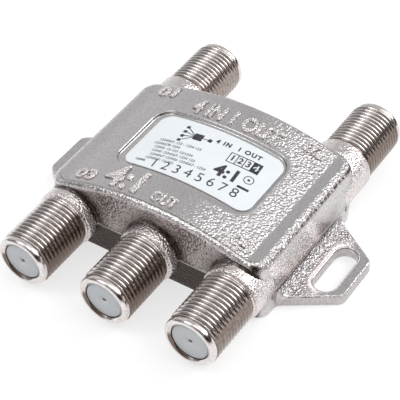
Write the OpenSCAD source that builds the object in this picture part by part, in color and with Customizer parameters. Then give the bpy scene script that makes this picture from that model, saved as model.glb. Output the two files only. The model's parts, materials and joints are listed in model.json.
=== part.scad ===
// Satellite switch: a die-cast housing with five threaded coaxial ports, a circuit board inside and a
// pressed cover under it.
// X runs along the row of three ports, Y from that row to the pair behind it, and Z is up. The modules
// draw each piece with the middle of the body on the Z axis, and the last lines set it so that the origin
// lies under the middle of the whole part, on the underside. Lengths are in millimetres.

/* [Body] */
// Width of the body between its two end walls
body_w = 40.2; // [39:0.1:43]
// Depth of the body between its two port walls
body_d = 28.4; // [27:0.1:32]
// Height of the body at the crest of its arched top
body_h = 15; // [14.5:0.1:17]
// Radius of the arched top
arch_r = 50; // [44:1:70]
// Width of the level band at each end of the arch
band_w = 3.05; // [2.9:0.05:4]
// Radius of the upright corners
corner_r = 2.6; // [1.8:0.1:2.8]
// Bevel along the top edges
top_bevel = 0.7; // [0.3:0.1:0.9]
// How far the walls draw in between the parting line and the underside
wall_draft = 0.3; // [0.1:0.05:0.4]
// Thickness of the walls, and of the roof under the label recess
wall_t = 1.6; // [1.3:0.1:2]

/* [Ports] */
// How far the collars of the corner ports stand out past the end walls
port_overhang = 0.55; // [0.2:0.05:0.9]
// Height of the port axes, where the two halves of the mould part
port_z = 6.2; // [6:0.1:6.8]
// Radius of the collar at the root of a port
collar_r = 4.95; // [4.8:0.05:5.2]
// Length of the collars of the row of three, in front of the wall
front_collar_len = 2.1; // [1.5:0.1:3]
// Length of the collars of the pair behind, in front of the wall
rear_collar_len = 3.7; // [1.5:0.1:5]
// How far the collar runs back over the rounded corner before it fades
collar_root = 2.6; // [2:0.1:3.5]
// Radius of the neck between the collar and the thread
neck_r = 4.3; // [4.1:0.05:4.4]
// Radius of the fillet between a collar and its wall
collar_fillet_r = 0.6; // [0.3:0.1:0.8]
// Length of the neck
neck_len = 0.35; // [0.2:0.05:1]
// Radius of the thread over its crests
thread_r = 4.7; // [4.6:0.01:4.76]
// Length of the thread
thread_len = 9.8; // [8:0.1:12]
// Distance from the port axis to the smooth land on each side of the thread
land_x = 4.5; // [4.45:0.01:4.55]
// Radius of the plain nose in front of the thread
nose_r = 4.5; // [4.3:0.05:4.6]
// Length of the plain nose up to its bevel
nose_len = 0.4; // [0.2:0.1:1]
// Bevel of the nose
nose_bevel = 0.7; // [0.3:0.1:0.9]
// Radius of the mouth
mouth_r = 3.3; // [3.1:0.05:3.4]

/* [Ears] */
// Thickness of an ear
ear_t = 2.1; // [1.6:0.1:3]
// How far an ear reaches out from the end wall
ear_reach = 8.4; // [8:0.1:11]
// Width of an ear where it leaves the end wall
ear_root_w = 19.8; // [18:0.1:20.4]
// Width of an ear at its tip, measured before its corners are rounded
ear_tip_w = 8.7; // [8:0.1:12]
// Radius of the two tip corners
ear_tip_r = 1.5; // [1:0.1:2.5]
// Radius of the fillets in plan between an ear and its end wall
ear_root_r = 1; // [0.5:0.1:1.5]
// Radius of the fillet between the end wall and the ear's top face
ear_fillet_r = 1.2; // [0.6:0.1:1.8]
// Width of the mounting slot
slot_w = 4; // [3:0.1:4.6]
// Length of the mounting slot from end to end
slot_len = 10.1; // [7:0.1:10.4]
// Distance from the ear's tip to the middle of the slot
slot_inset = 3.9; // [3.6:0.1:4.5]

/* [Label] */
// Width of the label
label_w = 23.4; // [20:0.1:26]
// Depth of the label
label_d = 12.8; // [11:0.1:15]
// Corner radius of the label
label_corner_r = 2; // [1:0.1:3]
// Thickness of the label
label_t = 0.15; // [0.1:0.05:0.3]
// Depth of the recess that holds the label
recess_depth = 0.55; // [0.3:0.05:0.8]
// Gap between the label and the recess wall along X
recess_gap_x = 0.9; // [0.3:0.1:1.5]
// Gap between the label and the recess wall along Y
recess_gap_y = 0.8; // [0.3:0.1:1.2]
// How far the label is stuck off the middle of its recess, as a share of the gap beside it along X
label_shift = 0.55; // [0:0.05:0.8]

/* [Insulators and contacts] */
// How far an insulator lies back from the end of the nose
plug_recess = 0.4; // [0.2:0.1:1]
// Length of the insulator's head
plug_len = 7; // [5:0.1:9]
// Thickness of the wall at the front of the insulator
plug_face_t = 0.5; // [0.3:0.1:1.2]
// Radius of the dimple in the insulator's face
dimple_r = 0.8; // [0.7:0.05:1]
// Depth of that dimple
dimple_depth = 0.2; // [0.1:0.05:0.25]
// Radius of the entry hole for the cable's centre wire
entry_r = 0.55; // [0.5:0.01:0.65]
// Radius of the insulator's spigot, which passes the port wall
spigot_r = 2.2; // [1.8:0.1:2.6]
// How far the spigot stands into the cavity
spigot_stand = 0.3; // [0.2:0.1:0.8]
// Radius of a contact
contact_r = 0.9; // [0.8:0.05:1.1]
// Radius of the contact's socket
socket_r = 0.5; // [0.4:0.01:0.55]
// Depth of the socket and of the slit that parts its two leaves
socket_depth = 6; // [4:0.1:8]
// Width of that slit
slit_w = 0.3; // [0.2:0.05:0.4]
// Radius of the contact's tail
tail_r = 0.35; // [0.25:0.05:0.45]
// How far the tail reaches into the cavity
tail_reach = 3.2; // [2.5:0.1:3.8]

/* [Board] */
// Thickness of the circuit board
board_t = 1; // [0.8:0.1:1.6]
// Gap round the board's edge, to the end walls and to the spigots
board_gap = 0.4; // [0.2:0.1:0.6]
// Radius of the posts that carry the board
post_r = 1.5; // [1.2:0.1:1.8]
// Distance from the cavity wall to the middle of a post
post_inset = 3; // [2.6:0.1:3.4]
// Radius of the stub that passes through the board
stub_r = 0.8; // [0.5:0.05:0.9]
// How far the stub stands out under the board
stub_stand = 0.4; // [0.2:0.1:0.8]

/* [Cover] */
// Thickness of the sheet
cover_t = 0.5; // [0.3:0.05:0.8]
// How far the sheet lies above the underside
cover_recess = 0.3; // [0.2:0.05:0.5]
// Width of the ledge that the sheet seats on
cover_lap = 0.5; // [0.3:0.05:0.6]
// Depth of the panel pressed into the sheet
panel_depth = 0.4; // [0.2:0.05:0.8]
// Width of the flat rim round that panel
rim_w = 2.4; // [1.8:0.1:4]

/* [Board parts] */
// Radius of a choke
choke_r = 1.3; // [1:0.1:1.5]
// Length of a diode's body
diode_len = 1.7; // [1.4:0.1:1.9]
// Width of a diode's body
diode_w = 1.25; // [1:0.05:1.4]
// Height of a diode
diode_h = 0.95; // [0.7:0.05:1.2]
// Length of a transistor's body
transistor_len = 2.6; // [2.2:0.1:2.8]
// Width of a transistor's body
transistor_w = 1.3; // [1.1:0.1:1.5]
// Height of a transistor
transistor_h = 1; // [0.8:0.1:1.3]
// Length of the microcontroller's body
chip_len = 8.6; // [7:0.1:9]
// Width of the microcontroller's body
chip_w = 3.9; // [3.5:0.1:4.4]
// Height of the microcontroller
chip_h = 1.6; // [1.2:0.1:2]
// Pitch of the microcontroller's leads
lead_pitch = 1.27; // [1.2:0.01:1.3]
// Width of those leads
lead_w = 0.42; // [0.3:0.01:0.5]
// How far a lead reaches out from a body
lead_reach = 1; // [0.7:0.1:1.2]
// Thickness of the leads
lead_t = 0.2; // [0.15:0.05:0.3]
// Length of the resonator
resonator_len = 3.8; // [3:0.1:4.4]
// Width of the resonator
resonator_w = 1.9; // [1.5:0.1:2.2]
// Height of the resonator
resonator_h = 1.3; // [1:0.1:1.8]
// Length of the regulator's body
regulator_len = 4.5; // [4:0.1:4.8]
// Width of the regulator's body
regulator_w = 2.5; // [2.2:0.1:2.7]
// Height of the regulator
regulator_h = 1.5; // [1.2:0.1:1.8]
// Radius of the bulk capacitor's can
can_r = 2.1; // [1.6:0.1:2.3]
// Height of the bulk capacitor's moulded base
can_base_h = 0.7; // [0.5:0.1:1]
// Length of a chip capacitor or resistor
chip_part_len = 1.6; // [1.3:0.1:1.7]
// Width of a chip capacitor or resistor
chip_part_w = 0.8; // [0.6:0.05:0.9]
// Height of a chip capacitor
ceramic_h = 0.8; // [0.5:0.05:0.9]
// Height of a chip resistor
resistor_h = 0.45; // [0.3:0.05:0.6]

/* [Hidden] */
$fn = 72;

// Colours
nickel = [0.72, 0.70, 0.68];
tin = [0.60, 0.60, 0.61];
label_film = [0.90, 0.92, 0.96];
insulator_plastic = [0.72, 0.74, 0.79];
contact_metal = [0.80, 0.68, 0.40];
board_green = [0.10, 0.36, 0.20];
moulded_black = [0.10, 0.10, 0.11];
ferrite = [0.20, 0.19, 0.19];
ceramic_tan = [0.72, 0.58, 0.42];
can_metal = [0.75, 0.76, 0.78];

// How far a cut runs past the faces that it opens
overrun = 0.5;
// Gap round a piece that slides into its hole
fit_gap = 0.05;
// Gap between the cover and the wall of its rebate
cover_gap = 0.1;
// Gap left by the glue under the label
glue_gap = 0.02;
// Gap left by the solder under a contact's tail
solder_gap = 0.05;
// Gap between one board part and the next
part_gap = 0.4;
// Length of the cone in which the collar's root fades into the wall
collar_fade_len = 1.8;
// How far that cone draws in
collar_fade = 1;
// Number of steps in the fillet between a collar and its wall
collar_fillet_steps = 4;
// Length of the cone where the thread starts
thread_lead = 0.3;
// Height of the gap under a moulded part that stands on leads
lead_stand = 0.1;
// Bend radius at the corners of the pressed panel
panel_corner_r = 2;
// Height of a choke, as a share of the room between the board and the ceiling over a corner port's choke
choke_room_share = 0.56;
// Height of a choke's flange, as a share of its height, and radius of its waist, as a share of its radius
flange_share = 0.2;
waist_share = 0.86;
// Height of the bulk capacitor, as a share of the room between the board and the ceiling over it
can_room_share = 0.73;
// Cut corners of the bulk capacitor's base, as a share of its radius
base_cut_share = 0.5;

// Ports: front left, front middle, front right, rear left, rear right
FRONT_LEFT = 0;
FRONT_MIDDLE = 1;
FRONT_RIGHT = 2;
REAR_LEFT = 3;
REAR_RIGHT = 4;
port_x_shares = [-1, 0, 1, -1, 1];
port_side = [-1, -1, -1, 1, 1];
port_pitch = body_w / 2 + port_overhang - collar_r;

// Body: the crest of the arch is at body_h and its axis runs along Y
arch_z = body_h - arch_r;
crease_x = body_w / 2 - band_w;
band_h = arch_z + sqrt(pow(arch_r, 2) - pow(crease_x, 2));
post_axis_x = body_w / 2 - corner_r;
post_axis_y = body_d / 2 - corner_r;

// Cavity, and the rebate for the cover
cavity_w = body_w - 2 * wall_t;
cavity_d = body_d - 2 * wall_t;
cavity_corner_r = corner_r / 2;
ceiling_r = arch_r - recess_depth - wall_t;
ledge_z = cover_recess + cover_t;

// Label recess
recess_r = arch_r - recess_depth;
recess_corner_r = label_corner_r + recess_gap_y;
label_x = label_shift * recess_gap_x;

// Port lengths, measured out from the wall
function collar_len(port) = port_side[port] < 0 ? front_collar_len : rear_collar_len;
function thread_start(port) = collar_len(port) + neck_len;
function thread_end(port) = thread_start(port) + thread_len;
function barrel_len(port) = thread_end(port) + nose_len + nose_bevel;
function plug_front(port) = barrel_len(port) - plug_recess;
function plug_seat(port) = plug_front(port) - plug_len;
function contact_front(port) = plug_front(port) - plug_face_t;
plug_r = mouth_r - fit_gap;
spigot_bore_r = spigot_r + fit_gap;
spigot_end = -wall_t - spigot_stand;
tail_end = -wall_t - tail_reach;

// How far the middle of the body lies from the middle of the whole part, along Y
body_y = (barrel_len(FRONT_LEFT) - barrel_len(REAR_LEFT)) / 2;

// Ears
ear_side_angle = atan2(ear_root_w / 2 - ear_tip_w / 2, ear_reach);
ear_tip_x = body_w / 2 + ear_reach;
slot_x = ear_tip_x - slot_inset;

// Board
board_w = cavity_w - 2 * board_gap;
board_d = cavity_d - 2 * spigot_stand - 2 * board_gap;
board_top = port_z - tail_r - solder_gap;
post_x = port_pitch / 2;
post_y = cavity_d / 2 - post_inset;
post_hole_r = stub_r + fit_gap;

// Board parts that belong to a port, measured from the port's axis and from the end of its tail
choke_back = part_gap + choke_r;
diode_step = diode_w + part_gap;
diode_back = tail_reach / 2;
transistor_step = choke_r + part_gap + transistor_len / 2;

// Places of the other board parts, as shares of half the board's width and depth. Each row of upright
// parts stands with its length along Y.
chip_share = [-0.12, 0.12];
resonator_share = [-0.56, 0.1];
regulator_share = [0.42, 0.3];
can_share = [0.42, -0.22];
tone_transistor_share = [0.26, -0.62];
ceramic_shares = [[-0.78, 0.18], [-0.78, -0.12], [-0.56, -0.14], [-0.34, -0.3], [-0.22, -0.3],
                  [0.64, 0.3], [0.74, 0.02], [0.74, -0.14], [-0.12, 0.62], [0.12, 0.62],
                  [-0.22, -0.66], [0.62, -0.3]];
resistor_shares = [[-0.7, 0.34], [-0.56, 0.34], [-0.46, -0.3], [-0.1, -0.3], [0.02, -0.3],
                   [0.14, -0.3], [0.14, -0.44], [0.8, 0.3], [0.24, 0.62], [-0.24, 0.62],
                   [0.86, -0.3], [-0.68, -0.32]];
upright_resistor_shares = [[0.22, 0.12], [0.22, 0.3]];

// Heights of the two tallest kinds of board part, which follow the ceiling over them
choke_room = ceiling_h(port_pitch + choke_r) - board_top;
choke_h = choke_room * choke_room_share;
can_room = ceiling_h(can_share[0] * board_w / 2 + can_r) - board_top;
can_h = can_room * can_room_share;

// Shapes that several pieces share

// Height of the cavity's ceiling at a distance from the middle
function ceiling_h(x) = arch_z + sqrt(pow(ceiling_r, 2) - pow(x, 2));

// A drum lying along Y whose top follows the arch
module arch_drum(r, d) {
    translate([0, d / 2, arch_z]) rotate([90, 0, 0]) cylinder(r = r, h = d);
}

// A flat rectangle with round corners, centred on the origin
module round_rectangle(w, d, r) {
    square([w - 2 * r, d], center = true);
    square([w, d - 2 * r], center = true);
    for (x = [-1, 1], y = [-1, 1])
        translate([x * (w / 2 - r), y * (d / 2 - r)]) circle(r = r);
}

module round_slab(w, d, h, r) {
    linear_extrude(height = h) round_rectangle(w, d, r);
}

// Puts its children in a port's own frame: the wall face is at zero and +Z points out of the mouth
module at_port(port) {
    translate([port_pitch * port_x_shares[port], port_side[port] * body_d / 2, port_z])
        rotate([-90 * port_side[port], 0, 0]) children();
}

// Puts its children on the board's top face, at a place given in shares of half the board
module on_board(share, turn = 0) {
    translate([share[0] * board_w / 2, share[1] * board_d / 2, board_top])
        rotate([0, 0, turn]) children();
}

// Puts its children on the board's top face near a port: inward along X, and back from the wall
module near_port(port, inward, back) {
    x_side = port_x_shares[port];
    translate([port_pitch * x_side - x_side * inward, port_side[port] * (body_d / 2 - back), board_top])
        children();
}

// Housing

// The wall's section from the underside to the top bevel, as distances from the axis of a corner
wall_section = [[0, 0], [corner_r - wall_draft, 0], [corner_r, port_z],
                [corner_r, band_h - top_bevel], [corner_r - top_bevel, band_h], [0, band_h]];

// The section of the whole body between two such walls, whose corner axes lie at plus and minus half
function wide_section(half) =
    concat([for (p = wall_section) [half + p[0], p[1]]],
           [for (i = [len(wall_section) - 1:-1:0]) [-half - wall_section[i][0], wall_section[i][1]]]);

// The body up to the level of the bands: four turned corners and the two slabs between them
module body_block() {
    for (x = [-1, 1], y = [-1, 1])
        translate([x * post_axis_x, y * post_axis_y, 0]) rotate_extrude() polygon(wall_section);
    translate([0, post_axis_y, 0]) rotate([90, 0, 0])
        linear_extrude(height = 2 * post_axis_y) polygon(wide_section(post_axis_x));
    translate([-post_axis_x, 0, 0]) rotate([90, 0, 90])
        linear_extrude(height = 2 * post_axis_x) polygon(wide_section(post_axis_y));
}

// The arched crown between the two bands, with the bevel carried round the ends of the drum
module crown() {
    intersection() {
        translate([0, 0, arch_z]) rotate([90, 0, 0]) rotate_extrude()
            polygon([[0, -body_d / 2], [arch_r - top_bevel, -body_d / 2],
                     [arch_r, -body_d / 2 + top_bevel], [arch_r, body_d / 2 - top_bevel],
                     [arch_r - top_bevel, body_d / 2], [0, body_d / 2]]);
        translate([-crease_x, -body_d / 2, port_z])
            cube([2 * crease_x, body_d, body_h - port_z]);
    }
}

// A port from its faded root inside the wall to the end of its nose, solid
module port_barrel(port) {
    collar_end = collar_len(port);
    start = thread_start(port);
    end = thread_end(port);
    difference() {
        rotate_extrude()
            polygon([[0, -collar_root - collar_fade_len],
                     [collar_r - collar_fade, -collar_root - collar_fade_len],
                     [collar_r, -collar_root], [collar_r, collar_end], [neck_r, collar_end],
                     [neck_r, start], [thread_r, start + thread_lead], [thread_r, end], [nose_r, end],
                     [nose_r, end + nose_len], [nose_r - nose_bevel, barrel_len(port)],
                     [0, barrel_len(port)]]);
        for (turn = [0, 180])
            rotate([0, 0, turn]) translate([land_x, -thread_r, collar_end])
                cube([thread_r, 2 * thread_r, end - collar_end]);
    }
}

// The fillets between the collars and the port walls, drawn in where the upright corners round away
// and ended just under the bevel. Each is hollow in section, in equal steps of turn.
module collar_fillets() {
    outer_r = collar_r + collar_fillet_r;
    hollow = [for (i = [0:collar_fillet_steps]) 90 * i / collar_fillet_steps];
    intersection() {
        union() for (port = [FRONT_LEFT:REAR_RIGHT]) at_port(port) rotate_extrude()
            polygon(concat([[neck_r, -corner_r], [outer_r, -corner_r]],
                           [for (turn = hollow) [outer_r - collar_fillet_r * sin(turn),
                                                 collar_fillet_r * (1 - cos(turn))]],
                           [[neck_r, collar_fillet_r]]));
        round_slab(body_w - 2 * wall_draft, body_d + 2 * collar_fillet_r, band_h - top_bevel - fit_gap,
                   corner_r + collar_fillet_r);
    }
}

// The stepped hole for an insulator: the head's seat is the step
module port_bore(port) {
    seat = plug_seat(port);
    translate([0, 0, seat]) cylinder(r = mouth_r, h = barrel_len(port) - seat + overrun);
    translate([0, 0, -collar_root - collar_fade_len - overrun])
        cylinder(r = spigot_bore_r, h = seat + collar_root + collar_fade_len + 2 * overrun);
}

// An ear in plan: a tapering tongue with round tip corners and filleted roots
module ear_outline() {
    wall_x = body_w / 2 - wall_draft;
    root_y = ear_root_w / 2 + wall_draft * tan(ear_side_angle);
    tip_drop = ear_tip_r / cos(ear_side_angle);
    tip_cx = ear_tip_x - ear_tip_r;
    tip_cy = root_y - (tip_cx - wall_x) * tan(ear_side_angle) - tip_drop;
    tip_touch = [tip_cx + ear_tip_r * sin(ear_side_angle), tip_cy + ear_tip_r * cos(ear_side_angle)];
    root_cx = wall_x + ear_root_r;
    root_cy = root_y - ear_root_r * tan(ear_side_angle) + ear_root_r / cos(ear_side_angle);
    root_touch = [root_cx - ear_root_r * sin(ear_side_angle), root_cy - ear_root_r * cos(ear_side_angle)];
    polygon([[wall_x - wall_t, -root_y], [wall_x, -root_y], [tip_touch[0], -tip_touch[1]],
             [ear_tip_x, -tip_cy], [ear_tip_x, tip_cy], tip_touch, [wall_x, root_y],
             [wall_x - wall_t, root_y]]);
    for (side = [-1, 1]) {
        translate([tip_cx, side * tip_cy]) circle(r = ear_tip_r);
        difference() {
            polygon([[wall_x - wall_t, 0], [wall_x - wall_t, side * root_cy], [wall_x, side * root_cy],
                     [root_cx, side * root_cy], [root_touch[0], side * root_touch[1]], [root_cx, 0]]);
            translate([root_cx, side * root_cy]) circle(r = ear_root_r);
        }
    }
}

module ear() {
    linear_extrude(height = ear_t) ear_outline();
    intersection() {
        linear_extrude(height = ear_t + ear_fillet_r) ear_outline();
        difference() {
            translate([body_w / 2 - wall_t, -ear_root_w, 0])
                cube([wall_t + ear_fillet_r, 2 * ear_root_w, ear_t + ear_fillet_r]);
            translate([body_w / 2 + ear_fillet_r, ear_root_w + overrun, ear_t + ear_fillet_r])
                rotate([90, 0, 0]) cylinder(r = ear_fillet_r, h = 2 * ear_root_w + 2 * overrun);
        }
    }
}

module ear_slot() {
    slot_r = slot_w / 2;
    translate([slot_x, 0, -overrun]) linear_extrude(height = ear_t + 2 * overrun) {
        square([slot_w, slot_len - slot_w], center = true);
        for (side = [-1, 1]) translate([0, side * (slot_len / 2 - slot_r)]) circle(r = slot_r);
    }
}

// The hollow inside, open below, with the four posts left standing in it
module cavity() {
    difference() {
        intersection() {
            round_slab(cavity_w, cavity_d, body_h, cavity_corner_r);
            arch_drum(ceiling_r, cavity_d + overrun);
        }
        for (x = [-1, 1], y = [-1, 1]) translate([x * post_x, y * post_y, board_top]) {
            cylinder(r = post_r, h = body_h);
            translate([0, 0, -board_t - stub_stand]) cylinder(r = stub_r, h = body_h);
        }
    }
    translate([0, 0, -overrun])
        round_slab(cavity_w + 2 * cover_lap, cavity_d + 2 * cover_lap, ledge_z + overrun,
                   cavity_corner_r + cover_lap);
}

// The shallow pocket for the label, whose floor follows the arch
module label_recess() {
    difference() {
        translate([0, 0, port_z])
            round_slab(label_w + 2 * recess_gap_x, label_d + 2 * recess_gap_y, body_h, recess_corner_r);
        arch_drum(recess_r, body_d + overrun);
    }
}

module housing() {
    color(nickel) difference() {
        union() {
            body_block();
            crown();
            collar_fillets();
            for (port = [FRONT_LEFT:REAR_RIGHT]) at_port(port) port_barrel(port);
            for (turn = [0, 180]) rotate([0, 0, turn]) ear();
        }
        cavity();
        label_recess();
        for (port = [FRONT_LEFT:REAR_RIGHT]) at_port(port) port_bore(port);
        for (turn = [0, 180]) rotate([0, 0, turn]) ear_slot();
    }
}

// Label: a film bent over the floor of the recess
module label() {
    color(label_film) intersection() {
        translate([label_x, 0, port_z]) round_slab(label_w, label_d, body_h, label_corner_r);
        difference() {
            arch_drum(recess_r + glue_gap + label_t, body_d);
            arch_drum(recess_r + glue_gap, body_d + overrun);
        }
    }
}

// Cover: a sheet with a panel pressed up into the cavity
module bottom_cover() {
    plate_w = cavity_w + 2 * cover_lap - 2 * cover_gap;
    plate_d = cavity_d + 2 * cover_lap - 2 * cover_gap;
    color(tin) translate([0, 0, cover_recess]) difference() {
        union() {
            round_slab(plate_w, plate_d, cover_t, cavity_corner_r + cover_lap - cover_gap);
            round_slab(plate_w - 2 * rim_w, plate_d - 2 * rim_w, cover_t + panel_depth, panel_corner_r);
        }
        translate([0, 0, -overrun])
            round_slab(plate_w - 2 * rim_w - 2 * cover_t, plate_d - 2 * rim_w - 2 * cover_t,
                       panel_depth + overrun, panel_corner_r - cover_t);
    }
}

module circuit_board() {
    color(board_green) translate([0, 0, board_top - board_t]) difference() {
        round_slab(board_w, board_d, board_t, cavity_corner_r);
        for (x = [-1, 1], y = [-1, 1])
            translate([x * post_x, y * post_y, -overrun])
                cylinder(r = post_hole_r, h = board_t + 2 * overrun);
    }
}

// Insulator: a head behind the mouth, and a spigot through the wall, bored from behind
module insulator(port) {
    seat = plug_seat(port);
    front = plug_front(port);
    color(insulator_plastic) at_port(port) rotate_extrude()
        polygon([[contact_r + fit_gap, spigot_end], [spigot_r, spigot_end], [spigot_r, seat],
                 [plug_r, seat], [plug_r, front], [dimple_r, front], [entry_r, front - dimple_depth],
                 [entry_r, contact_front(port)], [contact_r + fit_gap, contact_front(port)]]);
}

// Contact: a socket with two leaves, and a tail that lies on the board
module contact(port) {
    front = contact_front(port);
    color(contact_metal) at_port(port) {
        difference() {
            translate([0, 0, spigot_end]) cylinder(r = contact_r, h = front - spigot_end);
            translate([0, 0, front - socket_depth]) cylinder(r = socket_r, h = socket_depth + overrun);
            translate([-contact_r - overrun, -slit_w / 2, front - socket_depth])
                cube([2 * contact_r + 2 * overrun, slit_w, socket_depth + overrun]);
        }
        translate([0, 0, tail_end]) cylinder(r = tail_r, h = spigot_end - tail_end + overrun);
    }
}

// Choke: a drum core whose waist carries the wire
module choke(port) {
    flange_h = choke_h * flange_share;
    waist_r = choke_r * waist_share;
    color(ferrite) near_port(port, 0, wall_t + tail_reach + choke_back)
        rotate_extrude()
            polygon([[0, 0], [choke_r, 0], [choke_r, flange_h], [waist_r, flange_h],
                     [waist_r, choke_h - flange_h], [choke_r, choke_h - flange_h], [choke_r, choke_h],
                     [0, choke_h]]);
}

// A moulded body that stands on flat leads; each lead is [x, y side]
module leaded_body(size, leads, width, reach) {
    color(moulded_black) translate([-size[0] / 2, -size[1] / 2, lead_stand])
        cube([size[0], size[1], size[2] - lead_stand]);
    color(tin) for (lead = leads)
        translate([lead[0] - width / 2, lead[1] > 0 ? size[1] / 2 - lead_t : -size[1] / 2 - reach, 0]) {
            cube([width, reach + lead_t, lead_t]);
            translate([0, lead[1] > 0 ? 0 : reach, 0]) cube([width, lead_t, size[2] / 2]);
        }
}

// Diode: the pair of a port lies beside its tail, on the side of the board's middle
module diode(port, place) {
    color(moulded_black)
        near_port(port, tail_r + part_gap + diode_w / 2 + place * diode_step, wall_t + diode_back) {
            translate([-diode_w / 2, -diode_len / 2, 0]) cube([diode_w, diode_len, diode_h]);
        }
}

module transistor_body() {
    leaded_body([transistor_len, transistor_w, transistor_h],
                [[-transistor_len / 3, -1], [transistor_len / 3, -1], [0, 1]], lead_w, lead_reach / 2);
}

module port_transistor(port) {
    near_port(port, transistor_step, wall_t + tail_reach + choke_back) transistor_body();
}

module tone_transistor() {
    on_board(tone_transistor_share) transistor_body();
}

module microcontroller() {
    rows = floor((chip_len - lead_w) / lead_pitch / 2);
    on_board(chip_share)
        leaded_body([chip_len, chip_w, chip_h],
                    [for (i = [-rows:rows], side = [-1, 1]) [i * lead_pitch, side]],
                    lead_w, lead_reach);
}

module resonator() {
    color(ceramic_tan) on_board(resonator_share)
        round_slab(resonator_len, resonator_w, resonator_h, resonator_w / 6);
}

module regulator() {
    on_board(regulator_share)
        leaded_body([regulator_len, regulator_w, regulator_h],
                    [[-regulator_len / 3, -1], [0, -1], [regulator_len / 3, -1], [0, 1]],
                    lead_w, lead_reach);
}

// Bulk capacitor: a can on a moulded base with two cut corners
module bulk_capacitor() {
    cut = can_r * base_cut_share;
    on_board(can_share) {
        color(moulded_black) linear_extrude(height = can_base_h)
            polygon([[-can_r, -can_r], [can_r - cut, -can_r], [can_r, -can_r + cut],
                     [can_r, can_r - cut], [can_r - cut, can_r], [-can_r, can_r]]);
        color(can_metal) translate([0, 0, can_base_h])
            cylinder(r = can_r - fit_gap, h = can_h - can_base_h);
    }
}

module chip_parts(shares, h, turn = 0) {
    for (share = shares)
        on_board(share, turn) translate([-chip_part_len / 2, -chip_part_w / 2, 0])
            cube([chip_part_len, chip_part_w, h]);
}

module ceramic_capacitors() {
    color(ceramic_tan) chip_parts(ceramic_shares, ceramic_h);
}

module chip_resistors() {
    color(moulded_black) {
        chip_parts(resistor_shares, resistor_h);
        chip_parts(upright_resistor_shares, resistor_h, 90);
    }
}

// Sets a piece where it lies in the whole part
module set_in() {
    translate([0, body_y, 0]) children();
}

set_in() housing();
set_in() label();
set_in() bottom_cover();
set_in() circuit_board();
set_in() insulator(FRONT_LEFT);  // insulator_front_left
set_in() insulator(FRONT_MIDDLE);  // insulator_front_middle
set_in() insulator(FRONT_RIGHT);  // insulator_front_right
set_in() insulator(REAR_LEFT);  // insulator_rear_left
set_in() insulator(REAR_RIGHT);  // insulator_rear_right
set_in() contact(FRONT_LEFT);  // contact_front_left
set_in() contact(FRONT_MIDDLE);  // contact_front_middle
set_in() contact(FRONT_RIGHT);  // contact_front_right
set_in() contact(REAR_LEFT);  // contact_rear_left
set_in() contact(REAR_RIGHT);  // contact_rear_right
set_in() choke(FRONT_LEFT);  // choke_front_left
set_in() choke(FRONT_MIDDLE);  // choke_front_middle
set_in() choke(FRONT_RIGHT);  // choke_front_right
set_in() choke(REAR_LEFT);  // choke_rear_left
set_in() choke(REAR_RIGHT);  // choke_rear_right
set_in() diode(FRONT_LEFT, 1);  // inner_diode_front_left
set_in() diode(FRONT_LEFT, 0);  // outer_diode_front_left
set_in() diode(FRONT_RIGHT, 1);  // inner_diode_front_right
set_in() diode(FRONT_RIGHT, 0);  // outer_diode_front_right
set_in() diode(REAR_LEFT, 1);  // inner_diode_rear_left
set_in() diode(REAR_LEFT, 0);  // outer_diode_rear_left
set_in() diode(REAR_RIGHT, 1);  // inner_diode_rear_right
set_in() diode(REAR_RIGHT, 0);  // outer_diode_rear_right
set_in() port_transistor(FRONT_LEFT);  // transistor_front_left
set_in() port_transistor(FRONT_RIGHT);  // transistor_front_right
set_in() port_transistor(REAR_LEFT);  // transistor_rear_left
set_in() port_transistor(REAR_RIGHT);  // transistor_rear_right
set_in() tone_transistor();
set_in() microcontroller();
set_in() resonator();
set_in() regulator();
set_in() bulk_capacitor();
set_in() ceramic_capacitors();
set_in() chip_resistors();
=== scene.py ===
import json
import math

import bpy
import numpy as np
from mathutils import Matrix, Vector


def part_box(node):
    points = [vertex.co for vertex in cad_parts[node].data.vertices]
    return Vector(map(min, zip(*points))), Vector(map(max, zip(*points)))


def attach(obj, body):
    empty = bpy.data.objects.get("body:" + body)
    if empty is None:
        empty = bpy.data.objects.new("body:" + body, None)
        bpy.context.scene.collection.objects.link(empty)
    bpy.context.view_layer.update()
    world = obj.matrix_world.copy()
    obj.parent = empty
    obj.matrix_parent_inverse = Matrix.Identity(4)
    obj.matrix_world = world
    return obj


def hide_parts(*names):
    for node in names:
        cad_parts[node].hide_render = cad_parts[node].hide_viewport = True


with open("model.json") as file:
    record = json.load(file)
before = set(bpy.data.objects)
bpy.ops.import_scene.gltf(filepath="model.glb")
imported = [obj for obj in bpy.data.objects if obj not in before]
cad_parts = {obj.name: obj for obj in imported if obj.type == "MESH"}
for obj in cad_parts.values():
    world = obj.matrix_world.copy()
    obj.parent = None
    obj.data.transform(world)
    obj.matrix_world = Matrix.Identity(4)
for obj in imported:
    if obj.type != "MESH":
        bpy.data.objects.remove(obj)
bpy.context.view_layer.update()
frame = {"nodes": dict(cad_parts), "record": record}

# Sizes are in millimetres along the frame's axes, from the middle of the body's underside;
# set_points moves them by BODY_PLACE and turns them into metres.
MM = 0.001
BODY_PLACE = np.array([0.0, sum(corner[1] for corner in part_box("label")) / 2 / MM, 0.0])


def node_box(node):
    """Lowest and highest corner of a CAD node, in millimetres from the middle of the body."""
    return tuple(np.array(corner) / MM - BODY_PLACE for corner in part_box(node))


HOUSING_HIGH = node_box("housing")[1]
LABEL_LOW, LABEL_HIGH = node_box("label")
COVER_LOW = node_box("bottom_cover")[0]

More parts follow.
